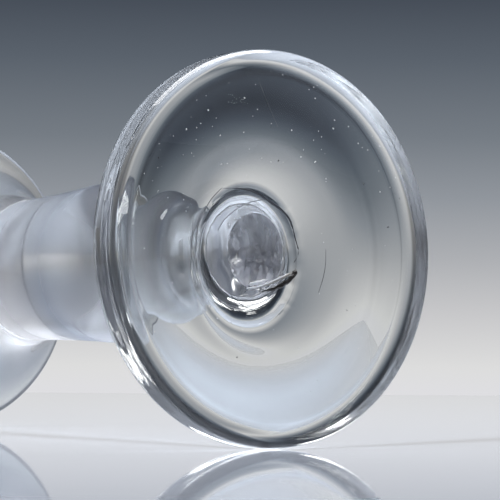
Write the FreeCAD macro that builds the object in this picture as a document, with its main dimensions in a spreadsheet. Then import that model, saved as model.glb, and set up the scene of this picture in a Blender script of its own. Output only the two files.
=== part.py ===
import FreeCAD, Part
import math
import os
import Sketcher

# A hand-made firing glass: a thick round foot, a short heavy waisted stem and a
# small trumpet bowl, with the scar of the snapped pontil rod under the foot.
# +Z is the glass's axis. The origin is the centre of the ring that the foot
# stands on, and the bowl opens upward.

doc = FreeCAD.newDocument("firing_glass")

# The driving sizes, in millimetres.
SIZES = [
    ("foot_radius", 32.0),
    ("edge_height", 6.9),
    ("edge_low_round", 1.6),
    ("edge_top_round", 2.3),
    ("contact_width", 1.1),
    ("hollow_rise", 4.1),
    ("hollow_bend", 76.0),
    ("hollow_flat", 9.2),
    ("pit_rise", 0.8),
    ("pit_floor_radius", 9.3),
    ("pit_radius", 10.7),
    ("pit_step", 0.9),
    ("pit_across", -1.1),
    ("pit_aside", 1.6),
    ("crown_radius", 24.5),
    ("crown_rise", 0.6),
    ("crown_bend", 27.0),
    ("shoulder_radius", 17.2),
    ("shoulder_rise", 0.9),
    ("shoulder_bend", 37.0),
    ("root_radius", 10.5),
    ("root_rise", 1.6),
    ("root_bend", 100.0),
    ("seat_rise", 4.7),
    ("seat_bend", 5.1),
    ("neck_radius", 6.7),
    ("flare_radius", 9.3),
    ("flare_rise", 14.5),
    ("flare_bend", 30.0),
    ("swell_radius", 13.75),
    ("swell_rise", 18.0),
    ("swell_bend", 42.0),
    ("stem_length", 56.4),
    ("waist_radius", 12.6),
    ("waist_bend", 450.0),
    ("bowl_height", 34.6),
    ("bowl_bend", 54.0),
    ("rim_radius", 28.0),
    ("rim_wall", 2.0),
    ("cavity_depth", 28.6),
    ("cavity_nose_radius", 7.5),
    ("cavity_nose_rise", 4.0),
    ("cavity_nose_bend", 9.1),
    ("cavity_bend", 120.0),
    ("scar_radius", 6.6),
    ("scar_neck", 0.4),
    ("scar_drop", 1.7),
    ("scar_slope", 0.9),
    ("scar_across", -1.2),
    ("scar_aside", 0.3),
    ("ledge_start", -3.4),
    ("ledge_end", 7.1),
    ("ledge_inner", 4.2),
    ("ledge_outer", 6.6),
    ("ledge_drop", 1.9),
    ("ledge_turn", -17.0),
]

sheet = doc.addObject("Spreadsheet::Sheet", "Sizes")
for row, (name, value) in enumerate(SIZES, start=1):
    sheet.set("A%d" % row, name)
    sheet.set("B%d" % row, str(value))
    sheet.setAlias("B%d" % row, name)
doc.recompute()


def size(name):
    """The present value of one named size."""
    return float(sheet.get(name))


def origin_plane(body, role):
    """One of the body's own origin planes or axes."""
    for feature in body.Origin.OriginFeatures:
        if feature.Role == role:
            return feature
    raise ValueError(role)


class Point:
    """A corner of an outline: where it starts, and the formulas that keep it there."""

    def __init__(self, across, up):
        self.across = across
        self.up = up


def worked_out(formula):
    """The present value of a formula written in the named sizes."""
    values = {name: size(name) for name, number in SIZES}
    total = 0.0
    for term in formula.replace("- ", "+ -").split("+ "):
        term = term.strip()
        sign = 1.0
        if term.startswith("-"):
            sign = -1.0
            term = term[1:].strip()
        product = 1.0
        for factor in term.split("*"):
            factor = factor.strip()
            product *= values[factor] if factor in values else float(factor)
        total += sign * product
    return total


def in_sheet(formula):
    """The same formula with every named size read from the sheet."""
    words = formula.split(" ")
    names = [name for name, number in SIZES]
    return " ".join("Sizes." + word if word in names else word for word in words)


def outline(body, name, points, bends):
    """A closed half outline in the XZ plane. bends[i] shapes the side after point i.

    A bend is None for a straight side, or a pair: the size that is its radius, and
    +1 or -1 for the side on which its centre lies.
    """
    sketch = body.newObject("Sketcher::SketchObject", name)
    sketch.AttachmentSupport = (origin_plane(body, "XZ_Plane"), [""])
    sketch.MapMode = "FlatFace"
    places = [
        FreeCAD.Vector(worked_out(point.across), worked_out(point.up), 0) for point in points
    ]
    ends = []
    for index, bend in enumerate(bends):
        start = places[index]
        end = places[(index + 1) % len(places)]
        if bend is None:
            side = sketch.addGeometry(Part.LineSegment(start, end), False)
            ends.append((side, 1, 2))
            continue
        radius = worked_out(bend[0])
        chord = end - start
        middle = (start + end) * 0.5
        across = FreeCAD.Vector(-chord.y, chord.x, 0).normalize() * bend[1]
        height = math.sqrt(max(radius ** 2 - (chord.Length / 2) ** 2, 0.0))
        centre = middle + across * height
        circle = Part.Circle(centre, FreeCAD.Vector(0, 0, 1), radius)
        start_angle = math.atan2(start.y - centre.y, start.x - centre.x)
        end_angle = math.atan2(end.y - centre.y, end.x - centre.x)
        if bend[1] > 0:
            side = sketch.addGeometry(Part.ArcOfCircle(circle, start_angle, end_angle), False)
            ends.append((side, 1, 2))
        else:
            side = sketch.addGeometry(Part.ArcOfCircle(circle, end_angle, start_angle), False)
            ends.append((side, 2, 1))
    count = len(ends)
    for index in range(count):
        side, first, last = ends[index]
        following, following_first, following_last = ends[(index + 1) % count]
        sketch.addConstraint(
            Sketcher.Constraint("Coincident", side, last, following, following_first)
        )
    for index, point in enumerate(points):
        side, first, last = ends[index]
        for kind, formula, place in (
            ("DistanceX", point.across, places[index].x),
            ("DistanceY", point.up, places[index].y),
        ):
            if formula == "0":
                on_line = -2 if kind == "DistanceX" else -1
                sketch.addConstraint(Sketcher.Constraint("PointOnObject", side, first, on_line))
                continue
            number = sketch.addConstraint(
                Sketcher.Constraint(kind, -1, 1, side, first, place)
            )
            label = "%s_%d" % ("across" if kind == "DistanceX" else "up", index)
            sketch.renameConstraint(number, label)
            sketch.setExpression("Constraints." + label, in_sheet(formula))
    for index, bend in enumerate(bends):
        if bend is None:
            continue
        number = sketch.addConstraint(
            Sketcher.Constraint("Radius", ends[index][0], worked_out(bend[0]))
        )
        label = "bend_%d" % index
        sketch.renameConstraint(number, label)
        sketch.setExpression("Constraints." + label, in_sheet(bend[0]))
    return sketch


def turned(body, sketch, name):
    """The outline turned once round the glass's axis."""
    solid = body.newObject("PartDesign::Revolution", name)
    solid.Profile = sketch
    solid.ReferenceAxis = (sketch, ["V_Axis"])
    solid.Angle = 360.0
    body.Tip = solid
    return solid


def new_body(label):
    body = doc.addObject("PartDesign::Body", label)
    body.Label = label
    body.Placement = FreeCAD.Placement(FreeCAD.Vector(0, 0, 0), FreeCAD.Rotation())
    return body


# Heights at which one piece is joined to the next while the glass is hot.
PIT_FLOOR = "hollow_rise + pit_rise"
CROWN_TOP = "edge_height + crown_rise"
SHOULDER_TOP = CROWN_TOP + " + shoulder_rise"
ROOT_TOP = SHOULDER_TOP + " + root_rise"
STEM_JOINT = ROOT_TOP + " + seat_rise"
BOWL_JOINT = STEM_JOINT + " + stem_length"
RIM_TOP = BOWL_JOINT + " + bowl_height"

# The foot: a thick disc with a rounded edge, rising in a low cone to the neck of
# the stem. Underneath it is hollow, so it stands on a narrow flat ring.
foot = new_body("foot")
foot_outline = outline(
    foot,
    "foot_outline",
    [
        Point("0", "hollow_rise"),
        Point("hollow_flat", "hollow_rise"),
        Point("foot_radius - edge_low_round - contact_width", "0"),
        Point("foot_radius - edge_low_round", "0"),
        Point("foot_radius", "edge_low_round"),
        Point("foot_radius", "edge_height - edge_top_round"),
        Point("foot_radius - edge_top_round", "edge_height"),
        Point("crown_radius", CROWN_TOP),
        Point("shoulder_radius", SHOULDER_TOP),
        Point("root_radius", ROOT_TOP),
        Point("neck_radius", STEM_JOINT),
        Point("0", STEM_JOINT),
    ],
    [
        None,
        ("hollow_bend", -1),
        None,
        ("edge_low_round", 1),
        None,
        ("edge_top_round", 1),
        ("crown_bend", 1),
        ("shoulder_bend", -1),
        ("root_bend", -1),
        ("seat_bend", -1),
        None,
        None,
    ],
)
turned(foot, foot_outline, "foot_turned")

# The pontil rod left a shallow round pit in the hollow, a little off the middle.
# Its sloping wall runs on into the air below the foot.
pit_outline = outline(
    foot,
    "pit_outline",
    [
        Point("0", PIT_FLOOR),
        Point("0", "-1 * pit_step"),
        Point("2 * pit_radius - pit_floor_radius", "-1 * pit_step"),
        Point("2 * pit_radius - pit_floor_radius", PIT_FLOOR + " - 2 * pit_step"),
        Point("pit_floor_radius", PIT_FLOOR),
    ],
    [None, None, None, None, None],
)
pit_outline.setExpression("AttachmentOffset.Base.x", "Sizes.pit_across")
pit_outline.setExpression("AttachmentOffset.Base.z", "0 - Sizes.pit_aside")
pit = foot.newObject("PartDesign::Groove", "pit")
pit.Profile = pit_outline
pit.ReferenceAxis = (pit_outline, ["V_Axis"])
pit.Angle = 360.0
foot.Tip = pit

# The stem: solid glass, narrow where it stands on the foot, swelling towards its
# middle and narrowing a little to the bowl. Both ends are flat discs of the same
# size as the faces that they are fused to.
FLARE = STEM_JOINT + " + flare_rise"
stem = new_body("stem")
stem_outline = outline(
    stem,
    "stem_outline",
    [
        Point("0", STEM_JOINT),
        Point("neck_radius", STEM_JOINT),
        Point("flare_radius", FLARE),
        Point("swell_radius", FLARE + " + swell_rise"),
        Point("waist_radius", BOWL_JOINT),
        Point("0", BOWL_JOINT),
    ],
    [None, ("flare_bend", -1), ("swell_bend", 1), ("waist_bend", -1), None, None],
)
turned(stem, stem_outline, "stem_turned")

# The bowl: a trumpet that flares from the stem to a fire-polished lip. Its wall thickens
# downward, and the cavity ends in a small round nose above the solid stem.
bowl = new_body("bowl")
bowl_outline = outline(
    bowl,
    "bowl_outline",
    [
        Point("0", BOWL_JOINT),
        Point("waist_radius", BOWL_JOINT),
        Point("rim_radius - 0.135 * rim_wall", RIM_TOP + " - 0.84 * rim_wall"),
        Point("rim_radius - 0.865 * rim_wall", RIM_TOP + " - 0.16 * rim_wall"),
        Point("cavity_nose_radius", RIM_TOP + " - cavity_depth + cavity_nose_rise"),
        Point("0", RIM_TOP + " - cavity_depth"),
    ],
    [
        None,
        ("bowl_bend", -1),
        ("0.5 * rim_wall", 1),
        ("cavity_bend", 1),
        ("cavity_nose_bend", -1),
        None,
    ],
)
turned(bowl, bowl_outline, "bowl_turned")

# The pontil scar, where the rod was snapped off: a rough plug of glass that hangs
# from the pit's flat floor, with a torn ledge along one side.
scar = new_body("pontil_scar")
scar_outline = outline(
    scar,
    "scar_outline",
    [
        Point("0", PIT_FLOOR),
        Point("0", PIT_FLOOR + " - scar_drop"),
        Point("scar_radius - scar_slope - scar_neck", PIT_FLOOR + " - scar_drop"),
        Point("scar_radius - scar_neck", PIT_FLOOR + " - scar_drop + scar_slope"),
        Point("scar_radius", PIT_FLOOR),
    ],
    [None, None, None, None, None],
)
turned(scar, scar_outline, "scar_turned")

# The ledge is a bar beside the plug's middle, drawn on the level of the pit's floor.
ledge_sketch = scar.newObject("Sketcher::SketchObject", "ledge_outline")
ledge_sketch.AttachmentSupport = (origin_plane(scar, "XY_Plane"), [""])
ledge_sketch.MapMode = "FlatFace"
ledge_sketch.setExpression("AttachmentOffset.Base.z", in_sheet(PIT_FLOOR))
LEDGE_CORNERS = [
    ("ledge_start", "ledge_inner"),
    ("ledge_end", "ledge_inner"),
    ("ledge_end", "ledge_outer"),
    ("ledge_start", "ledge_outer"),
]
corners = [FreeCAD.Vector(size(along), size(aside), 0) for along, aside in LEDGE_CORNERS]
for index, corner in enumerate(corners):
    ledge_sketch.addGeometry(Part.LineSegment(corner, corners[(index + 1) % 4]), False)
for index, (along, aside) in enumerate(LEDGE_CORNERS):
    ledge_sketch.addConstraint(
        Sketcher.Constraint("Coincident", index, 2, (index + 1) % 4, 1)
    )
    for kind, name, place in (
        ("DistanceX", along, corners[index].x),
        ("DistanceY", aside, corners[index].y),
    ):
        number = ledge_sketch.addConstraint(
            Sketcher.Constraint(kind, -1, 1, index, 1, place)
        )
        label = "%s_%d" % ("along" if kind == "DistanceX" else "aside", index)
        ledge_sketch.renameConstraint(number, label)
        ledge_sketch.setExpression("Constraints." + label, "Sizes." + name)

ledge = scar.newObject("PartDesign::Pad", "ledge")
ledge.Profile = ledge_sketch
ledge.Reversed = True
ledge.setExpression("Length", "Sizes.ledge_drop")
scar.Tip = ledge
scar.Placement = FreeCAD.Placement(
    FreeCAD.Vector(0, 0, 0), FreeCAD.Rotation(FreeCAD.Vector(0, 0, 1), 1.0)
)
scar.setExpression("Placement.Base.x", "Sizes.scar_across")
scar.setExpression("Placement.Base.y", "Sizes.scar_aside")
scar.setExpression("Placement.Rotation.Angle", "Sizes.ledge_turn")

doc.recompute()

# Every object has to be sound, and every piece one solid, before anything is written.
for item in doc.Objects:
    if "Invalid" in item.State or "Error" in item.State:
        raise RuntimeError("%s did not recompute: %s" % (item.Name, item.State))

PIECES = [foot, stem, bowl, scar]
for piece in PIECES:
    if piece.Shape.isNull() or not piece.Shape.isValid():
        raise RuntimeError("%s has no valid shape" % piece.Label)
    if len(piece.Shape.Solids) != 1:
        raise RuntimeError("%s is not one solid" % piece.Label)

os.makedirs("parts", exist_ok=True)
for piece in PIECES:
    piece.Shape.exportStep("parts/%s.step" % piece.Label)
    box = piece.Shape.optimalBoundingBox()
    print(
        "%-12s volume %9.1f  z %.2f to %.2f  radius %.2f"
        % (piece.Label, piece.Shape.Volume, box.ZMin, box.ZMax, box.XMax)
    )
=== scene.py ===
import bpy
import math
import random
from mathutils import Matrix, Vector


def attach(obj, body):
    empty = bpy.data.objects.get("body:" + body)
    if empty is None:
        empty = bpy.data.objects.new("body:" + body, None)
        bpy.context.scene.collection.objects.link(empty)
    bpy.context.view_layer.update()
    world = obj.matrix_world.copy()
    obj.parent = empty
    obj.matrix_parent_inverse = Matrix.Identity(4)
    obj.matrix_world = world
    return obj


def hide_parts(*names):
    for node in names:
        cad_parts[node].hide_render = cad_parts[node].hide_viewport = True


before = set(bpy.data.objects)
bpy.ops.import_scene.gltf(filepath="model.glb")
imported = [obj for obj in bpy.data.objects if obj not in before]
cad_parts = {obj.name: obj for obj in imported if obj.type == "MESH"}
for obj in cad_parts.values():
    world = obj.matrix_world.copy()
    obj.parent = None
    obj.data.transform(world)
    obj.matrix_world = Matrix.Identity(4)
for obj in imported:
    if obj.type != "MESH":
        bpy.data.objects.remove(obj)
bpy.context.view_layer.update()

# The glass was photographed lying on its side, resting on the edge of its foot and on
# its lip. These three directions are the photograph's right, away and up, and places in
# the room are counted from the spot on the table under the foot's centre.
PHOTO_RIGHT = Vector((0.802684, 0.023676, -0.595934))
PHOTO_AWAY = Vector((0.596404, -0.031865, 0.802052))
PHOTO_UP = Vector((0.0, -0.999212, -0.039699))
UNDER_FOOT = Vector((0.0, 0.03213, 0.00128))


def in_photo(right, away, up):
    """A point given in metres from the spot on the table under the foot's centre."""
    return UNDER_FOOT + PHOTO_RIGHT * right + PHOTO_AWAY * away + PHOTO_UP * up


# The camera: a long lens, low over the table, looking at the underside of the foot
# and along the stem.
SENSOR_WIDTH = 36.0
FOCAL_LENGTH = 216.0
NEAREST = 0.01
FARTHEST = 20.0
VIEW_RIGHT = Vector((0.802577, 0.017053, -0.596305))
VIEW_AHEAD = Vector((0.59625, -0.054563, 0.800942))
VIEW_UP = VIEW_RIGHT.cross(VIEW_AHEAD)
CAMERA_AT = Vector((-0.289347, 0.026387, -0.381051))
lens = bpy.data.cameras.new("camera")
lens.sensor_width = SENSOR_WIDTH
lens.lens = FOCAL_LENGTH
lens.clip_start = NEAREST
lens.clip_end = FARTHEST
camera = bpy.data.objects.new("camera", lens)
camera.matrix_world = Matrix(
    (
        (VIEW_RIGHT.x, VIEW_UP.x, -VIEW_AHEAD.x, CAMERA_AT.x),
        (VIEW_RIGHT.y, VIEW_UP.y, -VIEW_AHEAD.y, CAMERA_AT.y),
        (VIEW_RIGHT.z, VIEW_UP.z, -VIEW_AHEAD.z, CAMERA_AT.z),
        (0.0, 0.0, 0.0, 1.0),
    )
)
bpy.context.scene.collection.objects.link(camera)
bpy.context.scene.camera = camera
bpy.context.scene.view_settings.view_transform = "Standard"

# The backdrop: a dome round the table, dark grey behind the glass and paling towards
# the table, with paler walls beside the camera. It is seen only from inside, so a
# camera outside it looks straight in.
ROOM = 0.50
ROOM_SIDES = 96
ROOM_RINGS = 64
# The dome's colours run from 0.1 m under the table, at 0, to 0.4 m over it, at 1.
COLOURS_PER_METRE = 2.0
COLOUR_AT_TABLE = 0.2
# The walls take over between these distances behind the glass.
WALLS_END = 0.30
WALLS_START = 0.02
# Dark cards stand on both sides, just outside the picture, to draw the glass's edges.
CARD_NEAR = 0.08
CARD_FAR = 0.20
CARD_DARKNESS = 0.35


def linear(red, green, blue):
    """A screen colour of 0 to 255 as linear light."""
    def one(value):
        value = value / 255.0
        return value / 12.92 if value <= 0.04045 else ((value + 0.055) / 1.055) ** 2.4
    return (one(red), one(green), one(blue))


BACKDROP = [
    (0.10, linear(222, 222, 226)),
    (0.195, linear(222, 222, 225)),
    (0.21, linear(221, 221, 221)),
    (0.245, linear(200, 200, 202)),
    (0.28, linear(174, 176, 180)),
    (0.32, linear(145, 150, 157)),
    (0.36, linear(117, 124, 132)),
    (0.41, linear(90, 98, 108)),
    (0.46, linear(62, 69, 80)),
    (0.52, linear(38, 45, 54)),
    (0.62, linear(30, 36, 44)),
    (1.0, linear(60, 64, 72)),
]
ROOM_WALLS = [
    (0.10, linear(170, 172, 180)),
    (0.25, linear(140, 143, 152)),
    (0.45, linear(118, 121, 131)),
    (0.70, linear(104, 108, 119)),
    (1.0, linear(100, 104, 115)),
]


def add_node(tree, kind, **values):
    """A node of that kind, with its properties set."""
    node = tree.nodes.new(kind)
    for name, value in values.items():
        setattr(node, name, value)
    return node


def put(tree, source, socket):
    """Joins an output to an input, or sets a plain value on it."""
    if hasattr(source, "links"):
        tree.links.new(source, socket)
    else:
        socket.default_value = source


def math_node(tree, operation, first, second=0.0):
    """The result of one sum on two outputs or plain numbers."""
    node = add_node(tree, "ShaderNodeMath", operation=operation)
    put(tree, first, node.inputs[0])
    put(tree, second, node.inputs[1])
    return node.outputs[0]


def ramp(tree, factor, stops):
    """A colour ramp with (place, colour) stops."""
    node = add_node(tree, "ShaderNodeValToRGB")
    points = node.color_ramp.elements
    points[0].position, points[0].color = stops[0][0], (*stops[0][1], 1.0)
    points[1].position, points[1].color = stops[-1][0], (*stops[-1][1], 1.0)
    for place, colour in stops[1:-1]:
        point = points.new(place)
        point.color = (*colour, 1.0)
    put(tree, factor, node.inputs[0])
    return node.outputs[0]


def fade(tree, value, start, end, low, high, course="SMOOTHSTEP"):
    """Runs from low to high while the value runs from start to end."""
    node = add_node(tree, "ShaderNodeMapRange", interpolation_type=course)
    put(tree, value, node.inputs["Value"])
    put(tree, start, node.inputs["From Min"])
    put(tree, end, node.inputs["From Max"])
    put(tree, low, node.inputs["To Min"])
    put(tree, high, node.inputs["To Max"])
    return node.outputs[0]


def mixed_colour(tree, share, first, second):
    """Two colours mixed, the second by the given share."""
    node = add_node(tree, "ShaderNodeMix", data_type="RGBA")
    put(tree, share, node.inputs["Factor"])
    put(tree, first, node.inputs[6])
    put(tree, second, node.inputs[7])
    return node.outputs[2]


def mixed_shader(tree, share, first, second):
    """Two shaders mixed, the second by the given share."""
    node = add_node(tree, "ShaderNodeMixShader")
    put(tree, share, node.inputs[0])
    put(tree, first, node.inputs[1])
    put(tree, second, node.inputs[2])
    return node.outputs[0]


def along(tree, direction):
    """How far a shaded point lies from the spot under the foot, in that direction."""
    place = add_node(tree, "ShaderNodeTexCoord").outputs["Object"]
    dot = add_node(tree, "ShaderNodeVectorMath", operation="DOT_PRODUCT")
    put(tree, place, dot.inputs[0])
    dot.inputs[1].default_value = direction
    return math_node(tree, "SUBTRACT", dot.outputs["Value"], UNDER_FOOT.dot(direction))


def empty_material(name):
    """A new material with no nodes in it."""
    material = bpy.data.materials.new(name)
    material.use_nodes = True
    material.node_tree.nodes.clear()
    return material


def finish_material(tree, shader):
    """The shader goes to the material's surface."""
    put(tree, shader, add_node(tree, "ShaderNodeOutputMaterial").inputs["Surface"])


def one_sided(tree, shader):
    """Shows the shader on the front of a face only, and nothing on its back."""
    back = add_node(tree, "ShaderNodeNewGeometry").outputs["Backfacing"]
    clear = add_node(tree, "ShaderNodeBsdfTransparent")
    finish_material(tree, mixed_shader(tree, back, shader, clear.outputs[0]))


bpy.ops.mesh.primitive_uv_sphere_add(segments=ROOM_SIDES, ring_count=ROOM_RINGS, radius=ROOM)
dome = bpy.context.object
dome.name = "backdrop"
dome.data.transform(Matrix.Translation(UNDER_FOOT))
dome.data.flip_normals()
bpy.ops.object.shade_smooth()
backdrop = empty_material("backdrop")
tree = backdrop.node_tree
share = math_node(tree, "MULTIPLY", along(tree, PHOTO_UP), COLOURS_PER_METRE)
share = math_node(tree, "ADD", share, COLOUR_AT_TABLE)
nearness = fade(tree, along(tree, PHOTO_AWAY), WALLS_END, WALLS_START, 0.0, 1.0)
aside = math_node(tree, "ABSOLUTE", along(tree, PHOTO_RIGHT))
emission = add_node(tree, "ShaderNodeEmission")
put(tree, mixed_colour(tree, nearness, ramp(tree, share, BACKDROP), ramp(tree, share, ROOM_WALLS)),
    emission.inputs["Color"])
put(tree, fade(tree, aside, CARD_NEAR, CARD_FAR, 1.0, CARD_DARKNESS), emission.inputs["Strength"])
one_sided(tree, emission.outputs[0])
dome.data.materials.append(backdrop)

# The world outside the dome is a plain mid grey, and only lights what the dome lets in.
WORLD_GREY = linear(120, 126, 136)
world = bpy.data.worlds.new("world")
world.use_nodes = True
world.node_tree.nodes["Background"].inputs["Color"].default_value = (*WORLD_GREY, 1.0)
bpy.context.scene.world = world

# The table: a glossy pale sheet that mirrors the glass, seen only from above. A faint
# line of shade runs out from behind the foot to both sides.
TABLE_REACH = ROOM * 0.7
TABLE_COLOUR = (0.74, 0.80, 0.92, 1.0)
TABLE_ROUGHNESS = 0.03
SHADE_COLOUR = (0.30, 0.31, 0.35, 1.0)
SHADE_START = -0.004
SHADE_SLOPE = 1.3
SHADE_WIDTH = 0.0015
SHADE_SPREAD = 0.18
SHADE_DEPTH = 0.8


def shaded(tree):
    """The table's colour with the line of shade, which widens away from the foot."""
    side = math_node(tree, "ABSOLUTE", along(tree, PHOTO_RIGHT))
    line = math_node(tree, "ADD", math_node(tree, "MULTIPLY", side, SHADE_SLOPE), SHADE_START)
    gap = math_node(tree, "SUBTRACT", along(tree, PHOTO_AWAY), line)
    width = math_node(tree, "ADD", math_node(tree, "MULTIPLY", side, SHADE_SPREAD), SHADE_WIDTH)
    ratio = math_node(tree, "DIVIDE", gap, width)
    power = math_node(tree, "MULTIPLY", math_node(tree, "MULTIPLY", ratio, ratio), -1.0)
    bell = math_node(tree, "POWER", math.e, power)
    amount = math_node(tree, "MULTIPLY", bell, SHADE_DEPTH)
    return mixed_colour(tree, amount, TABLE_COLOUR, SHADE_COLOUR)


corners = [(-TABLE_REACH, -TABLE_REACH), (TABLE_REACH, -TABLE_REACH),
           (TABLE_REACH, TABLE_REACH), (-TABLE_REACH, TABLE_REACH)]
sheet = bpy.data.meshes.new("table")
sheet.from_pydata([in_photo(right, away, 0.0) for right, away in corners], [], [(0, 1, 2, 3)])
sheet.update()
table = bpy.data.objects.new("table", sheet)
bpy.context.scene.collection.objects.link(table)
table_top = empty_material("table")
tree = table_top.node_tree
surface = add_node(tree, "ShaderNodeBsdfPrincipled")
surface.inputs["Roughness"].default_value = TABLE_ROUGHNESS
put(tree, shaded(tree), surface.inputs["Base Color"])
one_sided(tree, surface.outputs[0])
sheet.materials.append(table_top)

# The light: one wide softbox hangs over the table, a little behind the glass, and
# looks down at the foot.
SOFTBOX_WIDTH = 0.34
SOFTBOX_DEPTH = 0.24
SOFTBOX_WATTS = 1.9
SOFTBOX_BEHIND = 0.06
SOFTBOX_HEIGHT = 0.36
softbox = bpy.data.lights.new("softbox", "AREA")
softbox.shape = "RECTANGLE"
softbox.size = SOFTBOX_WIDTH
softbox.size_y = SOFTBOX_DEPTH
softbox.energy = SOFTBOX_WATTS
lamp = bpy.data.objects.new("softbox", softbox)
bpy.context.scene.collection.objects.link(lamp)
lamp_place = in_photo(0.0, SOFTBOX_BEHIND, SOFTBOX_HEIGHT)
lamp.location = lamp_place
lamp.rotation_euler = (UNDER_FOOT - lamp_place).to_track_quat("-Z", "Y").to_euler()

# The foot: a thick disc of lead glass, pressed flat while hot and hollowed underneath, so
# that it stands on a narrow worn ring. Its edge is rounded in the fire, and the pontil
# rod left a shell-shaped pit near its middle.
FOOT_RADIUS = 0.032
FOOT_TURNS = 320
EDGE_HEIGHT = 0.0069
EDGE_LOW_ROUND = 0.0016
EDGE_TOP_ROUND = 0.0023
CROWN_RADIUS = 0.0245
CROWN_RISE = 0.0006
CROWN_BEND = 0.027
SHOULDER_RADIUS = 0.0172
SHOULDER_RISE = 0.0009
SHOULDER_BEND = 0.037
ROOT_RADIUS = 0.0105
ROOT_RISE = 0.0016
ROOT_BEND = 0.10
SEAT_RISE = 0.0047
SEAT_BEND = 0.0051
NECK_RADIUS = 0.0067
CROWN = EDGE_HEIGHT + CROWN_RISE
SHOULDER = CROWN + SHOULDER_RISE
ROOT = SHOULDER + ROOT_RISE
STEM_JOINT = ROOT + SEAT_RISE
# The discs where two pieces are fused keep a hair apart, so that each is a closed body.
JOINT_GAP = 1e-5
# The worn ring and the hollow inside it.
CONTACT_WIDTH = 0.0011
CONTACT_EDGE = FOOT_RADIUS - EDGE_LOW_ROUND - CONTACT_WIDTH
WORN_WIDTH = 0.0011
WORN_BEND = 0.0050
HOLLOW_RISE = 0.0041
HOLLOW_BEND = 0.076
HOLLOW_FLAT = 0.0092
# The pit: its floor under the scar, a shallow valley round it, and a sharp lip.
PIT_RADIUS = 0.0104
PIT_RISE = 0.0001
PIT_SLOPE = 0.0100
PIT_WALL = 0.0060
PIT_LIP = 0.0001
VALLEY_RADIUS = 0.0093
VALLEY_DEPTH = 0.0006
SCAR_RADIUS = 0.0058
PIT_FLOOR = HOLLOW_RISE + PIT_RISE
VALLEY = (VALLEY_RADIUS, PIT_FLOOR + VALLEY_DEPTH)
# The pit is a little oval and lies off the middle, and the scar in it lies off again.
PIT_NARROW = 0.96
PIT_LONG = 1.08
PIT_MIDDLE = Vector((-0.0031, 0.0014))
SCAR_MIDDLE = Vector((-0.0015, 0.0003))
PIT_REACH = 0.007
SCAR_REACH = 0.0025
PIT_MARGIN = 0.0003
TOUCH = 1e-5
DENTS_MARGIN = 0.0004
PIT_DENTS = 0.0003
PIT_GRAIN = 0.005


def bend(start, end, radius, side, steps):
    """Points on the arc from start to end, whose centre lies on the given side."""
    (x0, z0), (x1, z1) = start, end
    chord = math.hypot(x1 - x0, z1 - z0)
    height = math.sqrt(max(radius ** 2 - (chord / 2) ** 2, 0.0)) * side
    cx = (x0 + x1) / 2 - (z1 - z0) / chord * height
    cz = (z0 + z1) / 2 + (x1 - x0) / chord * height
    first = math.atan2(z0 - cz, x0 - cx)
    turn = math.atan2(z1 - cz, x1 - cx) - first
    turn = (turn + math.pi) % (2 * math.pi) - math.pi
    return [
        (cx + radius * math.cos(first + turn * step / steps),
         cz + radius * math.sin(first + turn * step / steps))
        for step in range(steps + 1)
    ]


def straight(start, end, steps):
    """Points on the straight line from start to end."""
    (x0, z0), (x1, z1) = start, end
    return [
        (x0 + (x1 - x0) * step / steps, z0 + (z1 - z0) * step / steps)
        for step in range(steps + 1)
    ]


def outline(*stretches):
    """Stretches of points joined end to end, each shared point kept once."""
    points = []
    for stretch in stretches:
        for point in stretch:
            if not points or math.dist(point, points[-1]) > 1e-7:
                points.append(point)
    return points


def first_point():
    """A new object that is a single point on the axis, left in edit mode."""
    bpy.ops.object.select_all(action="DESELECT")
    bpy.ops.mesh.primitive_plane_add(size=0.001, location=(0.0, 0.0, 0.0))
    bpy.ops.object.mode_set(mode="EDIT")
    bpy.ops.mesh.select_all(action="SELECT")
    bpy.ops.mesh.merge(type="CENTER")
    return bpy.context.object


def turned(name, points, turns=256):
    """The outline drawn point by point and spun once round the glass's axis."""
    item = first_point()
    item.name = name
    item.data.name = name
    at = (0.0, 0.0)
    for index, point in enumerate(points):
        move = (point[0] - at[0], 0.0, point[1] - at[1])
        if index == 0:
            bpy.ops.transform.translate(value=move)
        else:
            bpy.ops.mesh.extrude_region_move(TRANSFORM_OT_translate={"value": move})
        at = point
    bpy.ops.mesh.select_all(action="SELECT")
    bpy.ops.mesh.spin(steps=turns, angle=math.tau, center=(0.0, 0.0, 0.0), axis=(0.0, 0.0, 1.0))
    bpy.ops.mesh.select_all(action="SELECT")
    bpy.ops.mesh.remove_doubles(threshold=2e-6)
    bpy.ops.mesh.normals_make_consistent(inside=False)
    bpy.ops.object.mode_set(mode="OBJECT")
    bpy.ops.object.shade_smooth()
    return item


def make_active(item):
    """Selects that piece and no other."""
    bpy.ops.object.select_all(action="DESELECT")
    item.select_set(True)
    bpy.context.view_layer.objects.active = item


def pick(item, inside):
    """Goes into edit mode with only the points selected that lie inside."""
    make_active(item)
    bpy.ops.object.mode_set(mode="EDIT")
    bpy.ops.mesh.select_all(action="DESELECT")
    bpy.ops.object.mode_set(mode="OBJECT")
    for vertex in item.data.vertices:
        vertex.select = inside(vertex.co)
    bpy.ops.object.mode_set(mode="EDIT")


def slide(item, inside, move, reach):
    """Moves the points that lie inside, and draws their neighbours along."""
    pick(item, inside)
    bpy.ops.transform.translate(
        value=move,
        use_proportional_edit=True,
        proportional_edit_falloff="SMOOTH",
        proportional_size=reach,
        use_proportional_connected=True,
    )
    bpy.ops.object.mode_set(mode="OBJECT")


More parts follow.
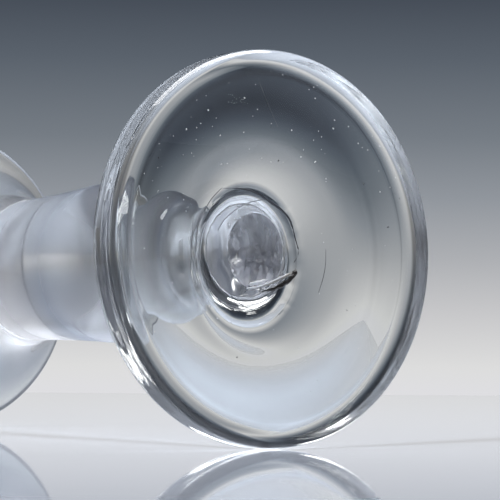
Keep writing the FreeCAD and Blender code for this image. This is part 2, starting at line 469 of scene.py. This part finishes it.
def roughen(item, inside, strength, grain):
    """Uneven dents on the points that lie inside."""
    group = item.vertex_groups.new(name="rough")
    group.add([v.index for v in item.data.vertices if inside(v.co)], 1.0, "REPLACE")
    clouds = bpy.data.textures.new("dents", "CLOUDS")
    clouds.noise_scale = grain
    clouds.noise_depth = 2
    dent = item.modifiers.new("dents", "DISPLACE")
    dent.texture = clouds
    dent.texture_coords = "LOCAL"
    dent.strength = strength
    dent.mid_level = 0.5
    dent.vertex_group = "rough"
    make_active(item)
    bpy.ops.object.modifier_apply(modifier="dents")


def hollow_height(radius):
    """How high the hollow's surface lies over the table at a distance from the axis."""
    drop = HOLLOW_BEND - math.sqrt(HOLLOW_BEND ** 2 - (radius - HOLLOW_FLAT) ** 2)
    return HOLLOW_RISE - drop


def underneath(place):
    """Whether a point of the foot lies on its underside."""
    return place.z < EDGE_HEIGHT


def oval(place, middle):
    """The distance from the middle of the oval pit or scar, with the oval made round."""
    return math.hypot((place.x - middle.x) / PIT_NARROW, (place.y - middle.y) / PIT_LONG)


hollow = bend((HOLLOW_FLAT, HOLLOW_RISE), (CONTACT_EDGE, 0.0), HOLLOW_BEND, -1, 28)
hollow = [point for point in hollow if PIT_RADIUS + PIT_LIP < point[0] < CONTACT_EDGE - WORN_WIDTH]
# The hollow begins with two close points, so that the pit's lip stays sharp.
hollow = [(radius, hollow_height(radius)) for radius in (PIT_RADIUS, PIT_RADIUS + PIT_LIP)] + hollow
hollow = outline(hollow, bend(hollow[-1], (CONTACT_EDGE, 0.0), WORN_BEND, 1, 8))
foot = turned(
    "foot_disc",
    outline(
        straight((0.0, PIT_FLOOR), (SCAR_RADIUS, PIT_FLOOR), 4),
        bend((SCAR_RADIUS, PIT_FLOOR), VALLEY, PIT_SLOPE, -1, 10),
        bend(VALLEY, hollow[0], PIT_WALL, -1, 12),
        hollow,
        straight((CONTACT_EDGE, 0.0), (FOOT_RADIUS - EDGE_LOW_ROUND, 0.0), 2),
        bend((FOOT_RADIUS - EDGE_LOW_ROUND, 0.0), (FOOT_RADIUS, EDGE_LOW_ROUND),
             EDGE_LOW_ROUND, 1, 36),
        straight((FOOT_RADIUS, EDGE_LOW_ROUND), (FOOT_RADIUS, EDGE_HEIGHT - EDGE_TOP_ROUND), 4),
        bend((FOOT_RADIUS, EDGE_HEIGHT - EDGE_TOP_ROUND),
             (FOOT_RADIUS - EDGE_TOP_ROUND, EDGE_HEIGHT), EDGE_TOP_ROUND, 1, 36),
        bend((FOOT_RADIUS - EDGE_TOP_ROUND, EDGE_HEIGHT), (CROWN_RADIUS, CROWN), CROWN_BEND, 1, 10),
        bend((CROWN_RADIUS, CROWN), (SHOULDER_RADIUS, SHOULDER), SHOULDER_BEND, -1, 12),
        bend((SHOULDER_RADIUS, SHOULDER), (ROOT_RADIUS, ROOT), ROOT_BEND, -1, 10),
        bend((ROOT_RADIUS, ROOT), (NECK_RADIUS, STEM_JOINT), SEAT_BEND, -1, 14),
        straight((NECK_RADIUS - JOINT_GAP, STEM_JOINT - JOINT_GAP),
                 (0.0, STEM_JOINT - JOINT_GAP), 3),
    ),
    FOOT_TURNS,
)
# The pit is drawn into an oval, then moved off the middle, and the scar's seat in it
# is moved part of the way back.
pick(foot, lambda place: underneath(place) and place.xy.length < PIT_RADIUS + PIT_MARGIN)
bpy.ops.transform.resize(
    value=(PIT_NARROW, PIT_LONG, 1.0),
    center_override=(0.0, 0.0, 0.0),
    use_proportional_edit=True,
    proportional_edit_falloff="SMOOTH",
    proportional_size=PIT_REACH,
    use_proportional_connected=True,
)
bpy.ops.object.mode_set(mode="OBJECT")
AXIS = Vector((0.0, 0.0))
slide(
    foot,
    lambda place: underneath(place) and oval(place, AXIS) < PIT_RADIUS + PIT_MARGIN,
    (*PIT_MIDDLE, 0.0),
    PIT_REACH,
)
slide(
    foot,
    lambda place: underneath(place) and oval(place, PIT_MIDDLE) < SCAR_RADIUS + TOUCH,
    (*(SCAR_MIDDLE - PIT_MIDDLE), 0.0),
    SCAR_REACH,
)
roughen(
    foot,
    lambda place: underneath(place)
    and (place.xy - PIT_MIDDLE).length < PIT_RADIUS + DENTS_MARGIN
    and oval(place, SCAR_MIDDLE) > SCAR_RADIUS + TOUCH,
    PIT_DENTS,
    PIT_GRAIN,
)

# The glass of all four pieces: clear, heavy lead glass with a faint grey in it. A trace
# of light is lost at each surface, so that light that runs far in it greys.
GLASS_COLOUR = (0.98, 1.0, 0.99, 1.0)
GLASS_IOR = 1.56
LOSS = 0.06
LAMP_THROUGH_GLASS = (0.9, 0.91, 0.92, 1.0)
POLISHED = 0.008
WORN = 0.07
WEAR_START = 0.0290
WEAR_END = 0.0302


def lead_glass(name, roughness, haze=0.0, cloud_colour=(0.66, 0.69, 0.76)):
    """Old lead glass, with some haze of its own. Light from lamps passes through it."""
    material = empty_material(name)
    tree = material.node_tree
    glass = add_node(tree, "ShaderNodeBsdfPrincipled", name="glass")
    glass.inputs["Base Color"].default_value = GLASS_COLOUR
    glass.inputs["Roughness"].default_value = roughness
    glass.inputs["IOR"].default_value = GLASS_IOR
    glass.inputs["Transmission Weight"].default_value = 1.0
    loss = add_node(tree, "ShaderNodeBsdfDiffuse")
    loss.inputs["Color"].default_value = (0.0, 0.0, 0.0, 1.0)
    cloud = add_node(tree, "ShaderNodeBsdfTranslucent", name="cloud")
    cloud.inputs["Color"].default_value = (*cloud_colour, 1.0)
    passing = add_node(tree, "ShaderNodeBsdfTransparent")
    passing.inputs["Color"].default_value = LAMP_THROUGH_GLASS
    greyed = mixed_shader(tree, LOSS, glass.outputs[0], loss.outputs[0])
    hazy = mixed_shader(tree, haze, greyed, cloud.outputs[0])
    hazy.node.name = "haze"
    in_shadow = add_node(tree, "ShaderNodeLightPath").outputs["Is Shadow Ray"]
    finish_material(tree, mixed_shader(tree, in_shadow, hazy, passing.outputs[0]))
    return material


def joint_skin():
    """The hidden disc where two pieces are fused: the glass runs on through it."""
    material = bpy.data.materials.new("fused_joint")
    material.use_nodes = True
    surface = material.node_tree.nodes["Principled BSDF"]
    surface.inputs["Alpha"].default_value = 0.0
    return material


JOINT = joint_skin()
FACES_UP_OR_DOWN = 0.999
SAME_HEIGHT = 1e-6


def glaze(item, node, joints, glass):
    """Gives a piece its glass, and clear skin on the discs at the given heights."""
    item.data.materials.append(glass)
    item.data.materials.append(JOINT)
    for face in item.data.polygons:
        flat = abs(face.normal.z) > FACES_UP_OR_DOWN
        if flat and any(abs(face.center.z - height) < SAME_HEIGHT for height in joints):
            face.material_index = 1
            face.use_smooth = False
    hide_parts(node)
    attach(item, "root")


# The foot's glass is polished, but worn a little dull round its outer edge.
CLEAR_GLASS = lead_glass("lead_glass", POLISHED)
tree = CLEAR_GLASS.node_tree
flat = add_node(tree, "ShaderNodeVectorMath", operation="MULTIPLY")
put(tree, add_node(tree, "ShaderNodeTexCoord").outputs["Object"], flat.inputs[0])
flat.inputs[1].default_value = (1.0, 1.0, 0.0)
radius = add_node(tree, "ShaderNodeVectorMath", operation="LENGTH")
put(tree, flat.outputs[0], radius.inputs[0])
wear = fade(tree, radius.outputs["Value"], WEAR_START, WEAR_END, POLISHED, WORN, "LINEAR")
put(tree, wear, tree.nodes["glass"].inputs["Roughness"])
glaze(foot, "foot", [STEM_JOINT - JOINT_GAP, PIT_FLOOR], CLEAR_GLASS)

# The stem: a solid column drawn out of a gather of its own, narrow where it stands on
# the foot, then swelling, and drawn in a little towards the bowl. Both ends are fused.
FLARE_RADIUS = 0.0093
FLARE_RISE = 0.0145
FLARE_BEND = 0.0300
SWELL_RADIUS = 0.01375
SWELL_RISE = 0.0180
SWELL_BEND = 0.042
WAIST_RADIUS = 0.0126
WAIST_BEND = 0.45
STEM_LENGTH = 0.0564
FLARE = STEM_JOINT + FLARE_RISE
SWELL = FLARE + SWELL_RISE
BOWL_JOINT = STEM_JOINT + STEM_LENGTH
stem = turned(
    "stem_column",
    outline(
        straight((0.0, STEM_JOINT), (NECK_RADIUS, STEM_JOINT), 3),
        bend((NECK_RADIUS, STEM_JOINT), (FLARE_RADIUS, FLARE), FLARE_BEND, -1, 24),
        bend((FLARE_RADIUS, FLARE), (SWELL_RADIUS, SWELL), SWELL_BEND, 1, 32),
        bend((SWELL_RADIUS, SWELL), (WAIST_RADIUS, BOWL_JOINT), WAIST_BEND, -1, 24),
        straight((WAIST_RADIUS - JOINT_GAP, BOWL_JOINT - JOINT_GAP),
                 (0.0, BOWL_JOINT - JOINT_GAP), 3),
    ),
)
# The stem's glass is softened by fine striae. The haze's colour and its amount change
# along the height, given in tenths of a metre: there is little at the neck and the bowl.
# The haze's colour is painted shade and painted light: it is dark blue-grey a little above
# the stem's middle, and near white towards the bowl.
STRIAE_ROUGHNESS = 0.10
STRIAE_HAZE = 0.28
STEM_CLOUD_PAINTED_SHADE_AND_LIGHT = [
    (0.30, (0.46, 0.49, 0.55)),
    (0.45, (0.40, 0.44, 0.52)),
    (0.51, (0.16, 0.20, 0.28)),
    (0.56, (0.24, 0.25, 0.28)),
    (0.61, (0.62, 0.62, 0.66)),
    (0.70, (0.95, 0.95, 0.98)),
]
STEM_HAZE = [(0.28, 0.10), (0.40, 0.35), (0.50, 1.0), (0.68, 1.0), (0.88, 0.14)]
SOFT_GLASS = lead_glass("striated_glass", STRIAE_ROUGHNESS, STRIAE_HAZE)
tree = SOFT_GLASS.node_tree
level = add_node(tree, "ShaderNodeSeparateXYZ")
put(tree, add_node(tree, "ShaderNodeTexCoord").outputs["Object"], level.inputs[0])
tenths = math_node(tree, "MULTIPLY", level.outputs["Z"], 10.0)
amount = ramp(tree, tenths, [(at, (part, part, part)) for at, part in STEM_HAZE])
# Painted shade and light: the haze's colour darkens and then pales along the stem.
put(tree, ramp(tree, tenths, STEM_CLOUD_PAINTED_SHADE_AND_LIGHT), tree.nodes["cloud"].inputs["Color"])
put(tree, math_node(tree, "MULTIPLY", amount, STRIAE_HAZE), tree.nodes["haze"].inputs[0])
put(tree, math_node(tree, "MULTIPLY", amount, STRIAE_ROUGHNESS),
    tree.nodes["glass"].inputs["Roughness"])
glaze(stem, "stem", [STEM_JOINT, BOWL_JOINT - JOINT_GAP], SOFT_GLASS)

# The bowl: a small trumpet, blown from a gather of its own and fused to the stem. Its
# lip is rounded in the fire, and its cavity ends in a small round nose.
BOWL_HEIGHT = 0.0346
BOWL_BEND = 0.054
RIM_RADIUS = 0.028
RIM_WALL = 0.002
CAVITY_DEPTH = 0.0286
CAVITY_BEND = 0.12
NOSE_RADIUS = 0.0075
NOSE_RISE = 0.004
NOSE_BEND = 0.0091
RIM_TOP = BOWL_JOINT + BOWL_HEIGHT
CAVITY_FLOOR = RIM_TOP - CAVITY_DEPTH
# The lip leans outward: its round runs between these two points, in parts of the wall.
LIP_OUT = (RIM_RADIUS - 0.135 * RIM_WALL, RIM_TOP - 0.84 * RIM_WALL)
LIP_IN = (RIM_RADIUS - 0.865 * RIM_WALL, RIM_TOP - 0.16 * RIM_WALL)
NOSE = (NOSE_RADIUS, CAVITY_FLOOR + NOSE_RISE)
bowl = turned(
    "bowl_trumpet",
    outline(
        straight((0.0, BOWL_JOINT), (WAIST_RADIUS, BOWL_JOINT), 3),
        bend((WAIST_RADIUS, BOWL_JOINT), LIP_OUT, BOWL_BEND, -1, 40),
        bend(LIP_OUT, LIP_IN, 0.5 * RIM_WALL, 1, 16),
        bend(LIP_IN, NOSE, CAVITY_BEND, 1, 32),
        bend(NOSE, (0.0, CAVITY_FLOOR), NOSE_BEND, -1, 12),
    ),
)
glaze(bowl, "bowl", [BOWL_JOINT], SOFT_GLASS)

# The pontil scar: the plug of glass that stayed in the pit when the rod was snapped
# off. It is fused to the pit's floor, and its face is uneven, streaky and half clear.
PLUG_HEIGHT = 0.0016
PLUG_BEND = 0.0146
PLUG_TURNS = 96
PLUG_DENTS = 0.0007
PLUG_GRAIN = 0.0022
PLUG_EDGE = SCAR_RADIUS - 0.0001
SCAR_TOP = PIT_FLOOR - JOINT_GAP
SNAPPED_ROUGHNESS = 0.16
SNAPPED_HAZE = 0.62
DARK_STREAK = (0.05, 0.052, 0.07)
PALE_STREAK = (0.24, 0.25, 0.29)
STREAK_TURN = 0.2
STREAKS_PER_METRE = (520.0, 130.0, 130.0)
scar = turned(
    "scar_plug",
    outline(
        straight((0.0, SCAR_TOP), (PLUG_EDGE, SCAR_TOP), 4),
        bend((PLUG_EDGE, SCAR_TOP), (0.0, PIT_FLOOR - PLUG_HEIGHT), PLUG_BEND, -1, 24),
    ),
    PLUG_TURNS,
)
make_active(scar)
bpy.ops.object.mode_set(mode="EDIT")
bpy.ops.mesh.select_all(action="SELECT")
bpy.ops.transform.resize(value=(PIT_NARROW, PIT_LONG, 1.0), center_override=(0.0, 0.0, 0.0))
bpy.ops.transform.translate(value=(*SCAR_MIDDLE, 0.0))
bpy.ops.object.mode_set(mode="OBJECT")
roughen(scar, lambda place: place.z < SCAR_TOP - TOUCH, PLUG_DENTS, PLUG_GRAIN)
SCAR_GLASS = lead_glass("snapped_glass", SNAPPED_ROUGHNESS, SNAPPED_HAZE, DARK_STREAK)
tree = SCAR_GLASS.node_tree
grain = add_node(tree, "ShaderNodeMapping")
put(tree, add_node(tree, "ShaderNodeTexCoord").outputs["Object"], grain.inputs["Vector"])
grain.inputs["Rotation"].default_value = (0.0, 0.0, STREAK_TURN)
grain.inputs["Scale"].default_value = STREAKS_PER_METRE
noise = add_node(tree, "ShaderNodeTexNoise")
noise.inputs["Scale"].default_value = 1.0
noise.inputs["Detail"].default_value = 3.0
put(tree, grain.outputs[0], noise.inputs["Vector"])
streaks = ramp(tree, noise.outputs["Fac"], [(0.38, DARK_STREAK), (0.62, PALE_STREAK)])
put(tree, streaks, tree.nodes["cloud"].inputs["Color"])
glaze(scar, "pontil_scar", [SCAR_TOP], SCAR_GLASS)


# The torn ledge below the plug and the thin broken edges that run round the pit: glass
# that chipped when the rod came away. White strands along the ledge are painted highlights.
def plain(name, colour, roughness):
    """An opaque face that hides what lies behind it: broken or crushed glass, and painted highlights.
    """
    material = bpy.data.materials.new(name)
    material.use_nodes = True
    surface = material.node_tree.nodes["Principled BSDF"]
    surface.inputs["Base Color"].default_value = (*colour, 1.0)
    surface.inputs["Roughness"].default_value = roughness
    return material


TORN = plain("torn_glass", (0.035, 0.030, 0.027), 0.25)
TAN = plain("dusty_glass", (0.30, 0.28, 0.25), 0.3)
# Pale white: crushed glass in the specks, and painted highlights in the ledge's white strands.
CRUSHED_AND_PAINTED_HIGHLIGHT = plain("crushed_glass_and_painted_highlights", (0.92, 0.93, 0.95), 0.35)
CRACK = plain("crack_edge", (0.055, 0.058, 0.07), 0.5)
STRAND_GRAIN = 0.0009


def strand(name, route, material, height, rough=0.0):
    """A thin torn edge: millimetre points (across, aside, half width), height in metres."""
    item = first_point()
    at = Vector((0.0, 0.0, 0.0))
    for index, (across, aside, _) in enumerate(route):
        point = Vector((across / 1000, aside / 1000, height))
        if index == 0:
            bpy.ops.transform.translate(value=point - at)
        else:
            bpy.ops.mesh.extrude_region_move(TRANSFORM_OT_translate={"value": point - at})
        at = point
    bpy.ops.object.mode_set(mode="OBJECT")
    bpy.ops.object.convert(target="CURVE")
    spline = item.data.splines[0]
    # The curve may run from either end of the route.
    ordered = list(route)
    if abs(spline.points[0].co.x - route[0][0] / 1000) > 1e-6:
        ordered.reverse()
    for point, (_, _, half) in zip(spline.points, ordered):
        point.radius = half
    item.data.bevel_depth = 0.001
    item.data.bevel_resolution = 3
    item.data.use_fill_caps = True
    bpy.ops.object.convert(target="MESH")
    item.name = name
    item.data.name = name
    rounding = item.modifiers.new("round", "SUBSURF")
    rounding.levels = 2
    bpy.ops.object.modifier_apply(modifier="round")
    if rough:
        roughen(item, lambda place: True, rough, STRAND_GRAIN)
    bpy.ops.object.shade_smooth()
    item.data.materials.append(material)
    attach(item, "root")
    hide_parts("pontil_scar")


strand(
    "torn_ledge",
    [(-0.7, 6.8, 0.08), (1.6, 6.35, 0.30), (3.4, 5.7, 0.40), (4.9, 4.85, 0.44),
     (5.9, 3.9, 0.40), (6.2, 3.1, 0.12)],
    TORN, 0.0036, 0.0008,
)
strand(
    "ledge_side",
    [(-3.0, 6.35, 0.08), (-0.8, 5.95, 0.18), (1.4, 5.3, 0.26), (3.6, 4.45, 0.26),
     (5.2, 3.65, 0.10)],
    TAN, 0.0033, 0.0004,
)
# A thin white line beside the torn ledge: a painted highlight.
strand(
    "ledge_painted_glint",
    [(-4.2, 6.4, 0.05), (-2.3, 6.15, 0.14), (-0.3, 5.6, 0.14), (2.0, 4.8, 0.10),
     (4.2, 3.8, 0.04)],
    CRUSHED_AND_PAINTED_HIGHLIGHT, 0.0030, 0.0002,
)
# A white patch on the ledge: a painted highlight, where the softbox shines on a facet.
strand(
    "ledge_painted_highlight",
    [(-3.6, 5.8, 0.12), (-2.6, 5.6, 0.38), (-1.6, 5.4, 0.46), (-0.6, 5.15, 0.30),
     (0.2, 4.95, 0.08)],
    CRUSHED_AND_PAINTED_HIGHLIGHT, 0.0034, 0.0006,
)
strand(
    "pit_crack",
    [(-8.1, -9.6, 0.05), (-6.1, -9.7, 0.08), (-4.3, -9.75, 0.09), (-2.2, -9.4, 0.15),
     (-0.6, -8.9, 0.18), (0.6, -8.2, 0.15), (2.4, -7.3, 0.19), (4.2, -6.3, 0.18),
     (5.5, -5.1, 0.11), (6.2, -3.3, 0.07), (6.6, -1.5, 0.06), (7.3, 0.1, 0.07),
     (6.9, 1.2, 0.08), (6.2, 2.0, 0.06)],
    CRACK, 0.0041, 0.0003,
)
strand(
    "inner_crack",
    [(-8.6, -2.8, 0.05), (-8.0, -3.9, 0.06), (-7.0, -4.9, 0.06), (-5.1, -6.3, 0.07),
     (-3.3, -7.2, 0.07), (-1.3, -7.8, 0.07), (0.8, -8.1, 0.06)],
    CRACK, 0.0046,
)
strand(
    "left_crack",
    [(-8.1, -9.6, 0.05), (-10.0, -8.1, 0.07), (-11.3, -6.4, 0.06), (-12.1, -4.4, 0.04)],
    CRACK, 0.0042,
)
strand(
    "lower_crack",
    [(-7.3, 6.7, 0.05), (-5.6, 8.2, 0.07), (-4.2, 9.1, 0.08), (-2.8, 9.5, 0.05)],
    CRACK, 0.0042,
)

# Old wear inside the hollow foot: pale and dark specks strewn over the polished glass,
# a fine scratch and the mark of a tool.
SPECK_SINK = 0.00003
FINE = (0.00004, 0.00008)
COARSE = (0.00006, 0.00014)
ALL_ROUND = (0.0, math.tau)
UPPER_SIDE = (math.radians(200), math.radians(140))


def speckle(name, material, count, seed, reach, arc, sizes):
    """Specks over part of the hollow, joined: two radii, a start and a sweep, two sizes."""
    inner, outer = reach
    start, sweep = arc
    chance = random.Random(seed)
    specks = []
    for _ in range(count):
        radius = math.sqrt(chance.uniform(inner ** 2, outer ** 2))
        angle = start + sweep * chance.random()
        size = chance.uniform(*sizes)
        place = (radius * math.cos(angle), radius * math.sin(angle), hollow_height(radius) - SPECK_SINK)
        bpy.ops.mesh.primitive_ico_sphere_add(
            subdivisions=1,
            radius=size,
            location=place,
            scale=(1.0, chance.uniform(0.5, 2.0), 0.5),
            rotation=(0.0, 0.0, chance.uniform(0.0, math.pi)),
        )
        specks.append(bpy.context.object)
    bpy.ops.object.select_all(action="DESELECT")
    for speck in specks:
        speck.select_set(True)
    bpy.context.view_layer.objects.active = specks[0]
    bpy.ops.object.join()
    bpy.ops.object.transform_apply(location=True, rotation=True, scale=True)
    item = bpy.context.object
    item.name = name
    item.data.name = name
    item.data.materials.append(material)
    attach(item, "root")
    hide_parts("foot")


speckle("pale_specks", CRUSHED_AND_PAINTED_HIGHLIGHT, 46, 5, (0.0140, 0.0285), UPPER_SIDE, COARSE)
speckle("fine_specks", CRUSHED_AND_PAINTED_HIGHLIGHT, 60, 11, (0.0110, 0.0288), ALL_ROUND, FINE)
speckle("dark_specks", CRACK, 16, 23, (0.0120, 0.0288), ALL_ROUND, COARSE)
strand(
    "scratch",
    [(-2.6, -27.4, 0.006), (-1.2, -24.8, 0.011), (0.1, -22.3, 0.011), (1.5, -19.6, 0.006)],
    TAN, 0.0016,
)
strand(
    "tool_mark",
    [(12.6, -0.2, 0.03), (12.6, 2.2, 0.05), (11.9, 4.8, 0.06), (10.9, 6.9, 0.03)],
    CRACK, 0.0040,
)

# Light crosses many faces of thick glass before it leaves, so it may bounce often.
BOUNCES = 32
cycles = bpy.context.scene.cycles
cycles.max_bounces = BOUNCES
cycles.transmission_bounces = BOUNCES
cycles.glossy_bounces = BOUNCES
cycles.transparent_max_bounces = BOUNCES
